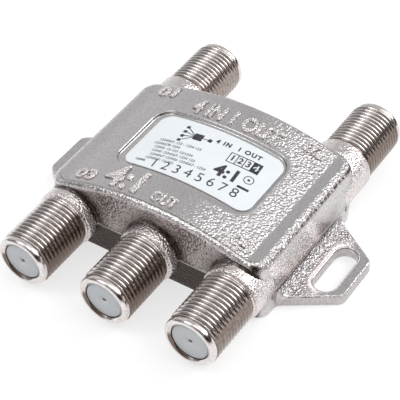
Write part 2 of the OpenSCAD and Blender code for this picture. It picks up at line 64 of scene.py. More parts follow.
# Body of the casting
BODY_H = HOUSING_HIGH[2]
HALF_W = 20.1
HALF_D = 14.2
CORNER_R = 2.6
ARCH_R = 50.0
CREASE_X = 17.05
BAND_FALL = 0.1
CREASE_BLEND = 0.12
EDGE_R = 0.95
EDGE_REACH_X = 1.4
FOOT_R = 0.35
DRAFT = 0.3
PARTING_Z = 6.2
SEAM_RISE = 0.16
SEAM_HALF = 0.14
WALL_T = 1.6
RECESS_DEPTH = 0.55
RECESS_HALF = (12.6, 7.2)
RECESS_R = 2.8
RECESS_SLOPE = 0.2
COVER_T = 0.5
COVER_LAP = 0.5
LEDGE_Z = COVER_LOW[2] + COVER_T

# Posts for the board
POST_R = 1.5
POST_X = 7.85
POST_Y = 9.6
STUB_R = 0.8
STUB_STAND = 0.4
STUB_ROUND = 0.2

# Ears
EAR_T = 2.1
EAR_TIP_X = HOUSING_HIGH[0]
EAR_ROOT_HALF = 9.9
EAR_TIP_HALF = 4.35
EAR_TIP_R = 1.5
EAR_ROOT_R = 1.3
EAR_FILLET_R = 1.8
EAR_EDGE_R = 0.28
EAR_WALL_X = HALF_W - 0.16
SLOT_X = 24.6
SLOT_R = 2.0
SLOT_HALF = 3.05

# Ports
PORTS = ("front_left", "front_middle", "front_right", "rear_left", "rear_right")
COLLAR_R = 4.95
COLLAR_ROOT = 2.6
COLLAR_FADE = 0.9
COLLAR_FADE_LEN = 1.8
COLLAR_ROUND = 0.25
SKIRT_R = 0.5
NECK_R = 4.3
NECK_LEN = 0.35
CREST_R = 4.7
GROOVE_R = 4.38
THREAD_LEN = 9.8
THREAD_PITCH = 0.794
STATIONS_PER_TURN = 16
LAND_R = 4.5
LAND_ANGLE = math.radians(33)
LAND_BLEND = math.radians(8)
NOSE_LEN = 0.4
NOSE_BEVEL = 0.7
NOSE_ROUND = 0.6
MOUTH_R = 3.3
PLUG_RECESS = 0.4
PLUG_LEN = 7.0
SPIGOT_R = 2.25
SPIGOT_GAP = 0.05
DIMPLE_R = 1.1
ENTRY_R = 0.34
CONTACT_BORE_R = 0.95
BARREL_COLUMNS = 240
SKIRT_COLUMNS = 160
PLUG_COLUMNS = 96
POST_COLUMNS = 48

# Power that broadens the thread's ridges, and their height before they are cut level at 1
RIDGE_POWER = 0.8
RIDGE_CUT = 1.05

# How much of the ridges is left on the smooth side lands of each port
LAND_RIDGE = {"front_left": 0.5, "front_middle": 0.5, "front_right": 0.15,
              "rear_left": 0.2, "rear_right": 0.2}

# Painted shade and painted reflection on the right side of each port: how far its plate is darkened
# and browned there
SIDE_SHADE = {"front_left": 0.95, "front_middle": 0.95, "front_right": 0.72,
              "rear_left": 0.6, "rear_right": 0.8}

# Label
LABEL_HALF = (LABEL_HIGH[:2] - LABEL_LOW[:2]) / 2
LABEL_X = (LABEL_HIGH[0] + LABEL_LOW[0]) / 2
LABEL_TOP = LABEL_HIGH[2]
LABEL_T = 0.15
LABEL_R = 2.0

# Grain field: how deep the orange peel is, as a multiple of GRAIN_DEPTH. There is more of it on the
# right of the dome and of the top edge, and less on the end walls, least at the rear.
FLAT_GRAIN = 0.08
RECESS_WALL_GRAIN = 0.15
LEFT_BAND_GRAIN = 0.9
DOME_GRAIN = 0.5
DOME_GRAIN_RIGHT = 1.55
EDGE_GRAIN = 0.8
EDGE_GRAIN_RIGHT = 1.3
WALL_GRAIN = 1.3
END_WALL_LESS = 0.75
REAR_END_LESS = 0.45
SIDE_GRAIN = 0.3
HIDDEN_GRAIN = 0.4
EAR_FACE_GRAIN = 0.18
EAR_ROOT_GRAIN = 2.5
EAR_EDGE_GRAIN = 1.2
SLOT_EDGE_GRAIN = 0.2
SLOT_GRAIN = 0.1
COLLAR_GRAIN = 2.2
THREAD_GRAIN = 0.25
SKIRT_GRAIN = 0.7
MARK_GRAIN = 2.6


# Shape helpers

def smoothstep(low, high, value):
    """Rises from 0 at low to 1 at high along a cubic with level ends."""
    t = np.clip((value - low) / (high - low), 0, 1)
    return t * t * (3 - 2 * t)


def smooth_max(a, b, blend):
    """The larger of two surfaces, the crease between them rounded over about the blend's length."""
    return (a + b + np.sqrt((a - b) ** 2 + blend ** 2)) / 2


def bell(value, middle, width):
    """1 at the middle, falling to 1/e at the width on either side."""
    return np.exp(-((value - middle) / width) ** 2)


def quarter(count):
    """Angles of a quarter turn from 0 to 90 degrees."""
    return np.linspace(0, math.pi / 2, count)


def circle(columns):
    """Angles of a full turn, one to a column."""
    return np.arange(columns) * 2 * math.pi / columns


def turned(angle):
    """Matrix that turns plan points, laid in rows, anticlockwise by an angle in radians."""
    return np.array([[math.cos(angle), math.sin(angle)], [-math.sin(angle), math.cos(angle)]])


# Mesh helpers

def beside(*parts):
    """Arrays laid side by side along a new last axis, as the coordinates of points are."""
    return np.stack(np.broadcast_arrays(*parts), axis=-1)


def grid_faces(rows, columns, wrap_rows=False):
    """Quads of a grid whose columns close on themselves, and whose rows do too with wrap_rows."""
    last = rows if wrap_rows else rows - 1
    row, column = np.meshgrid(np.arange(last), np.arange(columns), indexing="ij")
    row, below = row * columns, (row + 1) % rows * columns
    right = (column + 1) % columns
    return beside(row + column, row + right, below + right, below + column).reshape(-1, 4)


def ladder_cap(first, columns):
    """Closes a ring of an even number of points with rungs from each point to its mirror point."""
    i = np.arange(columns // 2 - 1)
    return first + beside(i, columns - 1 - i, columns - 2 - i, i + 1)


def capped_faces(rows, columns):
    """Quads of a grid of rings whose first and last ring are closed by ladders."""
    last = ladder_cap((rows - 1) * columns, columns)
    return np.concatenate([grid_faces(rows, columns), ladder_cap(0, columns), last[:, ::-1]])


def outward(points, faces):
    """Turns the faces round where the volume that they enclose comes out negative."""
    a, b, c, d = (points[faces[:, k]] for k in range(4))
    volume = (a * np.cross(b, c)).sum() + (a * np.cross(c, d)).sum()
    return faces if volume > 0 else faces[:, ::-1]


def add_object(name, data):
    """Puts an object that holds the data into the scene."""
    item = bpy.data.objects.new(name, data)
    bpy.context.scene.collection.objects.link(item)
    return item


def set_points(mesh, points):
    """Places the vertices at points in millimetres from the middle of the body's underside."""
    mesh.vertices.foreach_set("co", ((points + BODY_PLACE) * MM).astype(np.float32).ravel())


def add_fields(mesh, **fields):
    """Gives a mesh a float attribute for each field."""
    for label, values in fields.items():
        attribute = mesh.attributes.new(label, "FLOAT", "POINT")
        attribute.data.foreach_set("value", np.ravel(values).astype(np.float32))


def dress(piece, material, node):
    """Gives a piece its material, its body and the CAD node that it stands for."""
    piece.data.materials.clear()
    piece.data.materials.append(material)
    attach(piece, "root")
    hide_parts(node)
    return piece


def new_piece(name, points, faces, material, node, slot_name, **fields):
    """Makes a smooth mesh of quads from points in millimetres, with those fields."""
    points = np.asarray(points, float).reshape(-1, 3)
    faces = outward(points, np.asarray(faces))
    mesh = bpy.data.meshes.new(name)
    mesh.vertices.add(len(points))
    set_points(mesh, points)
    mesh.loops.add(faces.size)
    mesh.loops.foreach_set("vertex_index", faces.astype(np.int32).ravel())
    mesh.polygons.add(len(faces))
    mesh.polygons.foreach_set("loop_start", np.arange(0, faces.size, 4, dtype=np.int32))
    mesh.update(calc_edges=True)
    mesh.polygons.foreach_set("use_smooth", np.ones(len(faces), bool))
    add_fields(mesh, **fields)
    mesh.validate()
    return dress(add_object(name, mesh), material, node)


# Shader helpers

def wire(tree, socket, value):
    """Links a socket to an input, or sets a value on it. A colour may be three numbers."""
    if isinstance(value, bpy.types.NodeSocket):
        tree.links.new(value, socket)
    elif isinstance(value, tuple) and len(value) < len(socket.default_value):
        socket.default_value = (*value, 1.0)
    else:
        socket.default_value = value


def feed(tree, node, **values):
    """Feeds a node's inputs, named as on the node with _ for each space. Returns the node."""
    for label, value in values.items():
        wire(tree, node.inputs[label.replace("_", " ")], value)
    return node


def add_node(tree, kind, **values):
    """A new shader node of a kind, with those inputs fed."""
    return feed(tree, tree.nodes.new("ShaderNode" + kind), **values)


def fill(tree, node, *values):
    """Feeds a node's inputs in their order. Returns its first output."""
    for socket, value in zip(node.inputs, values):
        wire(tree, socket, value)
    return node.outputs[0]


def math_node(tree, operation, *values, clamp=False):
    """A Math node fed by sockets or plain numbers; returns its output."""
    node = add_node(tree, "Math")
    node.operation = operation
    node.use_clamp = clamp
    return fill(tree, node, *values)


def noise(tree, vector, scale, detail, roughness):
    """Value of a Noise texture on a vector; the scale is in cycles a metre."""
    return add_node(tree, "TexNoise", Vector=vector, Scale=scale, Detail=detail,
                    Roughness=roughness).outputs["Fac"]


def ramp(tree, factor, low, high):
    """Runs from the low to the high colour over the middle of the factor's range."""
    node = add_node(tree, "ValToRGB", Fac=factor)
    for element, place, colour in zip(node.color_ramp.elements, (0.3, 0.7), (low, high)):
        element.position = place
        element.color = (*colour, 1.0)
    return node.outputs["Color"]


def mix_colour(tree, factor, first, second, blend="MIX"):
    """A colour Mix node; returns its colour."""
    node = add_node(tree, "Mix")
    node.data_type = "RGBA"
    node.blend_type = blend
    for index, value in ((0, factor), (6, first), (7, second)):
        wire(tree, node.inputs[index], value)
    return node.outputs[2]


def field(tree, name):
    """The value of a mesh's own float attribute."""
    node = add_node(tree, "Attribute")
    node.attribute_name = name
    return node.outputs["Fac"]


def bump(tree, shader, height, strength, distance):
    """Feeds a height to the shader's normal; the distance is in metres."""
    node = add_node(tree, "Bump", Height=height, Strength=strength, Distance=distance)
    feed(tree, shader, Normal=node.outputs[0])


def group_with(name, inputs, outputs):
    """An empty shader group with sockets of those kinds, and its input and output nodes."""
    group = bpy.data.node_groups.new(name, "ShaderNodeTree")
    for in_out, sockets in (("INPUT", inputs), ("OUTPUT", outputs)):
        for label, kind in sockets.items():
            group.interface.new_socket(label, in_out=in_out, socket_type="NodeSocket" + kind)
    return group, group.nodes.new("NodeGroupInput"), group.nodes.new("NodeGroupOutput")


def place_group(tree, group, **values):
    """Puts a shader group in a tree with its inputs fed. Returns its outputs."""
    node = add_node(tree, "Group")
    node.node_tree = group
    return feed(tree, node, **values).outputs


def new_material(name):
    """A material with an empty tree, its Principled shader and its Object coordinates."""
    material = bpy.data.materials.new(name)
    material.use_nodes = True
    tree = material.node_tree
    tree.nodes.clear()
    shader = add_node(tree, "BsdfPrincipled")
    add_node(tree, "OutputMaterial", Surface=shader.outputs[0])
    return material, tree, shader, add_node(tree, "TexCoord").outputs["Object"]


# Shader groups

# How far the cells of the grain are pushed about, and the height of the grain where a piece's grain
# field is 1, in metres
WARP_REACH = 0.0003
GRAIN_DEPTH = 0.00011


def make_cast_grain():
    """Orange peel of a plated die casting: rounded cells between fine pits, with finer noise on
    them. Height is the cells plus the noise; Cells goes from 0 in a pit to 1 on a cell's crown."""
    group, source, sink = group_with("cast_grain", {"Vector": "Vector", "Cell scale": "Float"},
                                     {"Height": "Float", "Cells": "Float"})
    vector, scale = source.outputs[:2]
    warp = add_node(group, "TexNoise", Vector=vector, Scale=1300.0, Detail=2.0)
    push = add_node(group, "VectorMath")
    push.operation = "MULTIPLY_ADD"
    pushed = fill(group, push, warp.outputs["Color"], (WARP_REACH,) * 3, vector)
    cells = add_node(group, "TexVoronoi", Vector=pushed, Scale=scale)
    cells.feature = "SMOOTH_F1"
    cells.inputs["Smoothness"].default_value = 0.6
    crown = math_node(group, "SUBTRACT", 1.0, cells.outputs["Distance"], clamp=True)
    fine = noise(group, vector, math_node(group, "MULTIPLY", scale, 1.6), 2.0, 0.55)
    feed(group, sink, Height=math_node(group, "MULTIPLY_ADD", fine, 0.45, crown), Cells=crown)
    return group


def make_plate_tone_and_shade():
    """Colour of nickel plate: a warm grey that drifts slowly, warmer and then browner as Dark
    rises, where Dark carries painted shade and painted reflection. Mask is how brown it is."""
    group, source, sink = group_with(
        "nickel_tarnish", {"Vector": "Vector", "Dark": "Float", "Clean": "Color", "Brown": "Color"},
        {"Color": "Color", "Mask": "Float"})
    vector, dark, clean, brown = source.outputs[:4]
    cloud = noise(group, vector, 160.0, 3.0, 0.55)
    speck = noise(group, vector, 1500.0, 2.0, 0.6)
    ragged = math_node(group, "MULTIPLY_ADD", speck, 0.5, -0.25)
    mask = math_node(group, "MULTIPLY_ADD", dark, 1.15, ragged)
    darkened = math_node(group, "GREATER_THAN", dark, 0.001)
    mask = math_node(group, "MULTIPLY", mask, darkened, clamp=True)
    drift = math_node(group, "MULTIPLY", cloud, 0.3)
    warm = mix_colour(group, drift, clean, (0.95, 0.90, 0.89), "MULTIPLY")
    onset = math_node(group, "MULTIPLY", mask, 2.0, clamp=True)
    warm = mix_colour(group, onset, warm, (1.0, 0.93, 0.90), "MULTIPLY")
    feed(group, sink, Color=mix_colour(group, mask, warm, brown), Mask=mask)
    return group


CAST_GRAIN = make_cast_grain()
PLATE_TONE_AND_SHADE = make_plate_tone_and_shade()


# Materials

def nickel(name, brown, rough, clean=(0.675, 0.66, 0.666), grain_share=1.0, cell_scale=3000.0):
    """Nickel plate on a casting, with its roughness on a crown and in a pit. The piece's grain
    field sets how deep the orange peel is, and its dark field how far painted shade and painted
    reflection darken and brown the plate."""
    material, tree, shader, place = new_material(name)
    grain = place_group(tree, CAST_GRAIN, Vector=place, Cell_scale=cell_scale)
    plate = place_group(tree, PLATE_TONE_AND_SHADE, Vector=place, Dark=field(tree, "dark"), Clean=clean,
                        Brown=brown)
    pits = math_node(tree, "SUBTRACT", 1.0, grain["Cells"])
    colour = mix_colour(tree, pits, plate["Color"], (0.80, 0.79, 0.79), "MULTIPLY")
    on_crown, in_pit = rough
    gloss = math_node(tree, "MULTIPLY_ADD", grain["Cells"], on_crown - in_pit, in_pit)
    gloss = math_node(tree, "MULTIPLY_ADD", plate["Mask"], 0.04, gloss)
    feed(tree, shader, Metallic=1.0, Base_Color=colour, Roughness=gloss)
    depth = math_node(tree, "MULTIPLY", field(tree, "grain"), grain_share)
    bump(tree, shader, grain["Height"], depth, GRAIN_DEPTH)
    return material


def plastic(name, colour, rough, mottle=0.04, scale=900.0, depth=0.1):
    """Moulded plastic: a colour with a faint mottle, a slightly uneven gloss and a fine bump."""
    material, tree, shader, place = new_material(name)
    cloud = noise(tree, place, scale, 3.0, 0.55)
    dark = tuple(c * (1 - mottle * 4) for c in colour)
    light = tuple(min(1.0, c * (1 + mottle)) for c in colour)
    gloss = math_node(tree, "MULTIPLY_ADD", cloud, 0.16, rough - 0.08)
    feed(tree, shader, Base_Color=ramp(tree, cloud, dark, light), Roughness=gloss)
    bump(tree, shader, noise(tree, place, scale * 3, 2.0, 0.5), depth, 0.00003)
    return material


def metal(name, colour, rough):
    """Sheet or drawn metal: streaky roughness along X and a fine bump."""
    material, tree, shader, place = new_material(name)
    drawn = add_node(tree, "Mapping", Vector=place, Scale=(0.15, 1.0, 1.0)).outputs[0]
    streak = noise(tree, drawn, 1400.0, 3.0, 0.6)
    cloud = noise(tree, place, 210.0, 3.0, 0.5)
    dull = tuple(c * 0.82 for c in colour)
    gloss = math_node(tree, "MULTIPLY_ADD", streak, 0.2, rough - 0.1)
    feed(tree, shader, Metallic=1.0, Base_Color=ramp(tree, cloud, dull, colour), Roughness=gloss)
    bump(tree, shader, streak, 0.15, 0.00004)
    return material


NICKEL_CAST = nickel("nickel_cast", (0.052, 0.038, 0.032), (0.14, 0.28), cell_scale=2550.0)
NICKEL_TURNED = nickel("nickel_turned", (0.20, 0.155, 0.13), (0.10, 0.16), (0.89, 0.86, 0.855),
                       grain_share=0.5)
NICKEL_RUBBED = nickel("nickel_rubbed", (0.10, 0.07, 0.055), (0.10, 0.20), (0.85, 0.82, 0.815))
LABEL_FILM = plastic("label_film", (0.79, 0.825, 0.855), 0.45, 0.008, 400.0, 0.04)
PRINT_BLACK = plastic("print_black", (0.035, 0.035, 0.045), 0.5)
PRINT_GREY = plastic("print_grey", (0.16, 0.16, 0.19), 0.5)
INSULATOR = plastic("insulator_plastic", (0.81, 0.84, 0.875), 0.42, 0.01, 500.0, 0.05)
CONTACT = metal("contact_bronze", (0.80, 0.68, 0.42), 0.3)
TIN = metal("tinned_sheet", (0.62, 0.62, 0.63), 0.38)


def cast_piece(name, points, faces, grain, dark, material=NICKEL_CAST):
    """A piece of the casting, from points in rows and columns and fields that fit them."""
    grain, dark = (np.broadcast_to(value, points.shape[:2]) for value in (grain, dark))
    return new_piece(name, points, faces, material, "housing", "nickel_casting",
                     grain=grain, dark=dark)


# Rounded-rectangle rings

RING_LONG = 136
RING_SHORT = 92
RING_CORNER = 14


def ring_plan():
    """Walks once round a rounded rectangle: for each point, where its corner centre lies, as shares
    of the half sides less the corner radius, and the direction of its outward normal."""
    along = np.linspace(-1, 1, RING_LONG, endpoint=False) + 1 / RING_LONG
    across = np.linspace(-1, 1, RING_SHORT, endpoint=False) + 1 / RING_SHORT
    turn = quarter(RING_CORNER)
    rear, left, front = (k * math.pi / 2 for k in (1, 2, 3))
    upper, lower = across[RING_SHORT // 2:], across[:RING_SHORT // 2]
    parts = [(1, upper, 0), (1, 1, turn), (-along, 1, rear), (-1, 1, turn + rear),
             (-1, -across, left), (-1, -1, turn + left), (along, -1, front), (1, -1, turn + front),
             (1, lower, 0)]
    return np.concatenate([beside(*part) for part in parts]).T


RING_X, RING_Y, RING_ANGLE = ring_plan()
RING_COS, RING_SIN = np.cos(RING_ANGLE), np.sin(RING_ANGLE)


def rings(half_w, half_d, radius):
    """Plan points of a stack of rounded rectangles: corner centre plus radius times the normal."""
    half_w, half_d, radius = (np.reshape(v, (-1, 1)) for v in (half_w, half_d, radius))
    return (RING_X * (half_w - radius) + radius * RING_COS,
            RING_Y * (half_d - radius) + radius * RING_SIN)


def blend_rings(first, last, shares):
    """Sizes (half width, half depth, corner radius) at shares between two rectangles."""
    first, last, shares = np.array(first), np.array(last), np.reshape(shares, (-1, 1))
    return (first + (last - first) * shares).T


def middle_ring(half_w, half_d, half=0.6, radius=0.3):
    """The thin ring in the middle, to which rings of that half width and depth shrink."""
    return half_w - half_d + half, half, radius


# Casting: body

def arch_height(x, under=0.0):
    """Height of the arch, or of one about the same axis that lies that far under it."""
    return BODY_H - ARCH_R + np.sqrt((ARCH_R - under) ** 2 - x ** 2)


def top_height(x):
    """Height of the top: the arch, and beyond the creases the nearly level bands."""
    band = arch_height(CREASE_X) - BAND_FALL * (np.abs(x) - CREASE_X)
    return smooth_max(arch_height(x), band, CREASE_BLEND) - CREASE_BLEND / 2


def ceiling_height(x):
    """Ceiling of the cavity: the arch again, lower by the recess and the wall."""
    return arch_height(x, RECESS_DEPTH + WALL_T)


def seam_height(x, y):
    """Height of the parting line: level on the port walls, and sagging to the ears on the ends."""
    on_end = smoothstep(HALF_W - 1.2, HALF_W - 0.3, np.abs(x))
    sag = smoothstep(HALF_D, EAR_ROOT_HALF - 1.0, np.abs(y))
    return PARTING_Z - on_end * (0.35 + 1.5 * sag)


def port_frame(port):
    """The port's axis as x and z, the sign of its direction along Y, and its nose's end there."""
    low, high = node_box("insulator_" + port)
    x, y, z = (low + high) / 2
    return x, z, math.copysign(1, y), max(-low[1], high[1]) + PLUG_RECESS


def painted_wall_shade(x, y, z):
    """Painted shade and painted reflection on a side wall, as a darkening and browning of the
    plate: round the ports, more so to the right of each, and below the parting line, which is left
    bright as a painted highlight; on the end walls, painted shade over the ears."""
    pitch = port_frame("front_right")[0]
    nearest = np.where(y < 0, np.clip(np.round(x / pitch), -1, 1), np.sign(x)) * pitch
    reach = np.hypot(x - nearest, z - PARTING_Z)
    rightward = 0.5 + 0.5 * smoothstep(-3.0, 3.0, x - nearest)
    near_port = (1 - smoothstep(COLLAR_R - 0.3, COLLAR_R + 2.8, reach)) * rightward
    over_seam = z - seam_height(x, y)
    low = 1 - smoothstep(-0.5, 0.1, over_seam)
    off_seam = 1 - 0.9 * bell(over_seam, 0, SEAM_HALF)
    port_wall = np.clip(0.32 + 0.6 * near_port + 0.76 * low, 0, 0.97) * off_seam
    over_ear = (1 - smoothstep(7.0, 11.0, np.abs(y + 1.0))) * (1 - smoothstep(4.0, 9.5, z))
    end_wall = 0.03 + 0.44 * over_ear
    on_port_wall = smoothstep(HALF_D - 1.0, HALF_D - 0.35, np.abs(y))
    return port_wall * on_port_wall + end_wall * (1 - on_port_wall)


def outer_grain(outer, share):
    """Grain of the top outside the recess: none on a margin round it and on the right band, and on
    the dome more towards the right."""
    x, _ = rings(*outer)
    on_band = smoothstep(CREASE_X - 0.25, CREASE_X + 0.15, np.abs(x))
    band = np.where(x < 0, LEFT_BAND_GRAIN, FLAT_GRAIN)
    dome = DOME_GRAIN + DOME_GRAIN_RIGHT * smoothstep(1, 13, x)
    off_margin = smoothstep(0.05, 0.13, share)[:, None]
    return FLAT_GRAIN + (dome + (band - dome) * on_band - FLAT_GRAIN) * off_margin


# Spacing of the dark beads along the right edge
BEAD_PITCH = 0.85


def painted_edge_reflection(tilt):
    """Painted dark reflections on the rounded top edge, for a column of its tilts in degrees: a
    thin line along the front, a beaded one along the right, and a spot at the corner between them."""
    to_front, to_right = np.clip(-RING_SIN, 0, 1), np.clip(RING_COS, 0, 1)
    line = 0.7 * bell(tilt, 10, 7) * to_front * (0.5 + 0.5 * smoothstep(-0.6, 0.6, RING_X))
    along = RING_Y * (HALF_D - CORNER_R)
    beads = np.sin(2 * math.pi * along / BEAD_PITCH + 1.8 * np.sin(1.3 * along))
    beads = smoothstep(-0.35, 0.45, beads * np.cos(2.9 * along + 0.6))
    beads = beads * (0.65 + 0.45 * smoothstep(-6.0, 6.0, along))
    beads = (0.15 + beads) * bell(tilt, 61, 13) * to_right ** 3
    spot = bell(RING_ANGLE, 1.66 * math.pi, 0.10 * math.pi) * smoothstep(25, 50, tilt)
    return np.minimum(1.0, line + beads + spot)


def drafted_walls(outline):
    """x, y, z, grain and dark of the side walls, which fall from the rounded edge to the parting
    line, bulge in its bead, and draw in below it down to the foot."""
    down = np.concatenate([np.linspace(0, 1, 25)[1:-1], [0.98, 1.0, 1.02],
                           np.linspace(1, 2, 16)[1:]])[:, None]
    x, y = rings(*blend_rings(outline, outline, down))
    edge_z, seam = top_height(x) - EDGE_R, seam_height(x, y)
    z = np.where(down < 1, edge_z + (seam - edge_z) * down, seam + (FOOT_R - seam) * (down - 1))
    inset = DRAFT * np.clip((seam - z) / seam, 0, 1)
    rise = SEAM_RISE * bell(z, seam, SEAM_HALF)
    x, y = x + (rise - inset) * RING_COS, y + (rise - inset) * RING_SIN
    on_end = smoothstep(HALF_W - 0.9, HALF_W - 0.3, np.abs(x))
    grain = WALL_GRAIN - on_end * (END_WALL_LESS + REAR_END_LESS * smoothstep(-2.0, 7.0, y))
    grain = grain * (0.5 + 0.5 * smoothstep(-0.3, 0.5, z - seam))
    grain = grain * (1 - 0.9 * bell(z, seam, 0.25))
    return x, y, z, grain, painted_wall_shade(x, y, z)


def casting_body():
    """One closed skin of rounded-rectangle rings. From the middle of the top they run out over the
    recess floor, up its sloping wall and over the arch to the rounded edge, down the drafted walls,
    under the foot, up into the rebate and the cavity, and back to the middle under the ceiling."""
    layers = []

    def add(sizes, height, grain, dark=0.0):
        x, y = rings(*sizes)
        layers.append([np.broadcast_to(v, x.shape) for v in (x, y, height(x), grain, dark)])

    outline = (HALF_W, HALF_D, CORNER_R)
    recess = np.array([*RECESS_HALF, RECESS_R])
    bed, brim = recess - RECESS_SLOPE, recess + RECESS_SLOPE
    crest = (HALF_W - EDGE_REACH_X, HALF_D - EDGE_R, CORNER_R - EDGE_R)
    add(blend_rings(middle_ring(*RECESS_HALF), bed, np.linspace(0, 1, 14)[:-1]),
        lambda x: top_height(x) - RECESS_DEPTH, FLAT_GRAIN)
    climb = np.linspace(0, 1, 9)
    depth = RECESS_DEPTH * (1 - smoothstep(0, 1, climb))[:, None]
    add(blend_rings(bed, brim, climb), lambda x: top_height(x) - depth, RECESS_WALL_GRAIN)
    share = np.linspace(0, 1, 32)[1:]
    outer = blend_rings(brim, crest, share)
    add(outer, top_height, outer_grain(outer, share))

    turn = quarter(10)[1:, None]
    add(blend_rings(crest, outline, np.sin(turn)),
        lambda x: top_height(x) - EDGE_R * (1 - np.cos(turn)),
        EDGE_GRAIN + EDGE_GRAIN_RIGHT * np.clip(RING_COS, 0, 1), painted_edge_reflection(np.degrees(turn)))
    layers.append(drafted_walls(outline))

    foot = np.array(outline) - DRAFT
    cavity = np.array([HALF_W - WALL_T, HALF_D - WALL_T, CORNER_R / 2])
    rebate = cavity + COVER_LAP
    twice = [0, 0]
    climb = np.array([[0.0], [1.0]])
    add(blend_rings(foot, foot - FOOT_R, 1 - np.cos(turn)), lambda x: FOOT_R * (1 - np.sin(turn)),
        HIDDEN_GRAIN)
    add(blend_rings(rebate, rebate, twice), lambda x: LEDGE_Z * climb, SIDE_GRAIN)
    add(blend_rings(cavity, cavity, twice),
        lambda x: LEDGE_Z + (ceiling_height(x) - LEDGE_Z) * climb, HIDDEN_GRAIN)
    add(blend_rings(cavity, middle_ring(HALF_W, HALF_D), np.linspace(0, 1, 14)[1:]),
        ceiling_height, HIDDEN_GRAIN)

    x, y, z, grain, dark = (np.concatenate(column) for column in zip(*layers))
    return cast_piece("casting_body", beside(x, y, z), capped_faces(*x.shape), grain, dark)


# Casting: ears

def ear_plan():
    """Upper half of an ear's outline from the tip's middle to its buried root, with the slot point
    that faces each of its points. The outline runs along the tip line and its corner's arc, the
    sloping side, and the concave root fillet with the wall behind it; the slot's right side, round
    end and left side face these three stretches, each at the same share of its length."""
    root_x = HALF_W - DRAFT
    slope = math.atan2(EAR_ROOT_HALF - EAR_TIP_HALF, EAR_TIP_X - root_x)
    corner_x, hollow_x, back_x = EAR_TIP_X - EAR_TIP_R, root_x + EAR_ROOT_R, root_x - WALL_T / 2
    corner_y = EAR_ROOT_HALF - (corner_x - root_x) * math.tan(slope) - EAR_TIP_R / math.cos(slope)
    hollow_y = EAR_ROOT_HALF - EAR_ROOT_R * math.tan(slope) + EAR_ROOT_R / math.cos(slope)
    turn = np.linspace(0, math.pi / 2 - slope, 12)[:, None]
    unit = np.concatenate([np.cos(turn), np.sin(turn)], axis=1)
    tip_arc = np.array([corner_x, corner_y]) + EAR_TIP_R * unit
    root_arc = np.array([hollow_x, hollow_y]) - EAR_ROOT_R * unit[::-1]
    stretches = (np.concatenate([[[EAR_TIP_X, 0]], tip_arc]),
                 np.stack([tip_arc[-1], root_arc[0]]),
                 np.concatenate([root_arc, [[back_x, root_arc[-1][1]], [back_x, 0]]]))
    outline, slot = [], []
    for number, (line, count) in enumerate(zip(stretches, (26, 30, 34))):
        step = np.linalg.norm(np.diff(line, axis=0), axis=1)
        place = np.append(0, np.cumsum(step)) / step.sum()
        share = np.linspace(0, 1, count)[1 if number else 0:]
        outline.append(beside(*(np.interp(share, place, line[:, k]) for k in (0, 1))))
        turn = (0 * share, share * math.pi, 0 * share + math.pi)[number]
        middle_y = (share, 0 * share + 1, 1 - share)[number] * SLOT_HALF
        slot.append(beside(SLOT_X + SLOT_R * np.cos(turn), middle_y + SLOT_R * np.sin(turn)))
    return np.concatenate(outline), np.concatenate(slot)


def closed_plan(half):
    """The whole outline from its upper half, whose first and last points lie on the X axis."""
    lower = half[1:-1][::-1] * np.array([1, -1])
    return np.concatenate([half, lower])


def inward_normals(loop):
    """Unit normals of a closed plan loop walked anticlockwise, pointing to its left."""
    tangent = np.roll(loop, -1, axis=0) - np.roll(loop, 1, axis=0)
    tangent /= np.linalg.norm(tangent, axis=1, keepdims=True)
    return beside(-tangent[:, 1], tangent[:, 0])


def ear(side):
    """A closed ring of sections, each running from the slot's rounded edge over the top to the
    outer edge, down it and back underneath. The top climbs to the wall in a fillet."""
    outline, slot = (closed_plan(half) for half in ear_plan())
    into, out_of_slot = inward_normals(outline), -inward_normals(slot)
    edge = EAR_EDGE_R
    inner, outer = slot + out_of_slot * edge, outline + into * edge
    turn = quarter(5)
    rows, heights, grains = [], [], []

    def add(points, height, grain):
        rows.append(points)
        heights.append(np.full(len(points), height))
        grains.append(np.broadcast_to(grain, len(points)))

    def round_edge(line, normals, turns, face_z, grain):
        for a in turns:
            drop = edge * (1 - math.sin(a))
            add(line + normals * edge * (1 - math.cos(a)), abs(face_z - drop), grain)

    round_edge(slot, out_of_slot, turn, EAR_T, SIDE_GRAIN)
    for share in np.linspace(0, 1, 26)[1:-1]:
        points = inner + (outer - inner) * share
        rooted = 1 - smoothstep(SLOT_X - SLOT_R - 0.4, SLOT_X + 0.2, points[:, 0])
        off_slot = smoothstep(0.08, 0.38, share)
        add(points, EAR_T, EAR_FACE_GRAIN + EAR_ROOT_GRAIN * rooted * off_slot)
    round_edge(outline, into, turn[::-1], EAR_T, EAR_EDGE_GRAIN)
    for share in (0.6, 0.3):
        add(outline, EAR_T * share, SIDE_GRAIN)
    round_edge(outline, into, turn, 0.0, SIDE_GRAIN)
    for share in (0.3, 0.7):
        add(outer + (inner - outer) * share, 0.0, SIDE_GRAIN)
    round_edge(slot, out_of_slot, turn[::-1], 0.0, SLOT_EDGE_GRAIN)
    for share in (0.3, 0.6):
        add(slot, EAR_T * share, SLOT_GRAIN)

    plan, z = np.stack(rows), np.stack(heights)
    to_wall = np.clip(EAR_WALL_X + EAR_FILLET_R - plan[..., 0], 0, EAR_FILLET_R)
    climb = EAR_FILLET_R - np.sqrt(EAR_FILLET_R ** 2 - to_wall ** 2)
    z = z + climb * smoothstep(EAR_T * 0.5, EAR_T * 0.9, z)
    # The dark field is painted shade: the ear's sides and underside are darker than its top face.
    return cast_piece("ear_right" if side > 0 else "ear_left",
                      beside(plan[..., 0] * side, plan[..., 1], z),
                      grid_faces(len(rows), len(outline), True), np.stack(grains),
                      0.01 + 0.16 * (1 - smoothstep(EAR_T - edge, EAR_T - 0.02, z)))


# Casting: ports

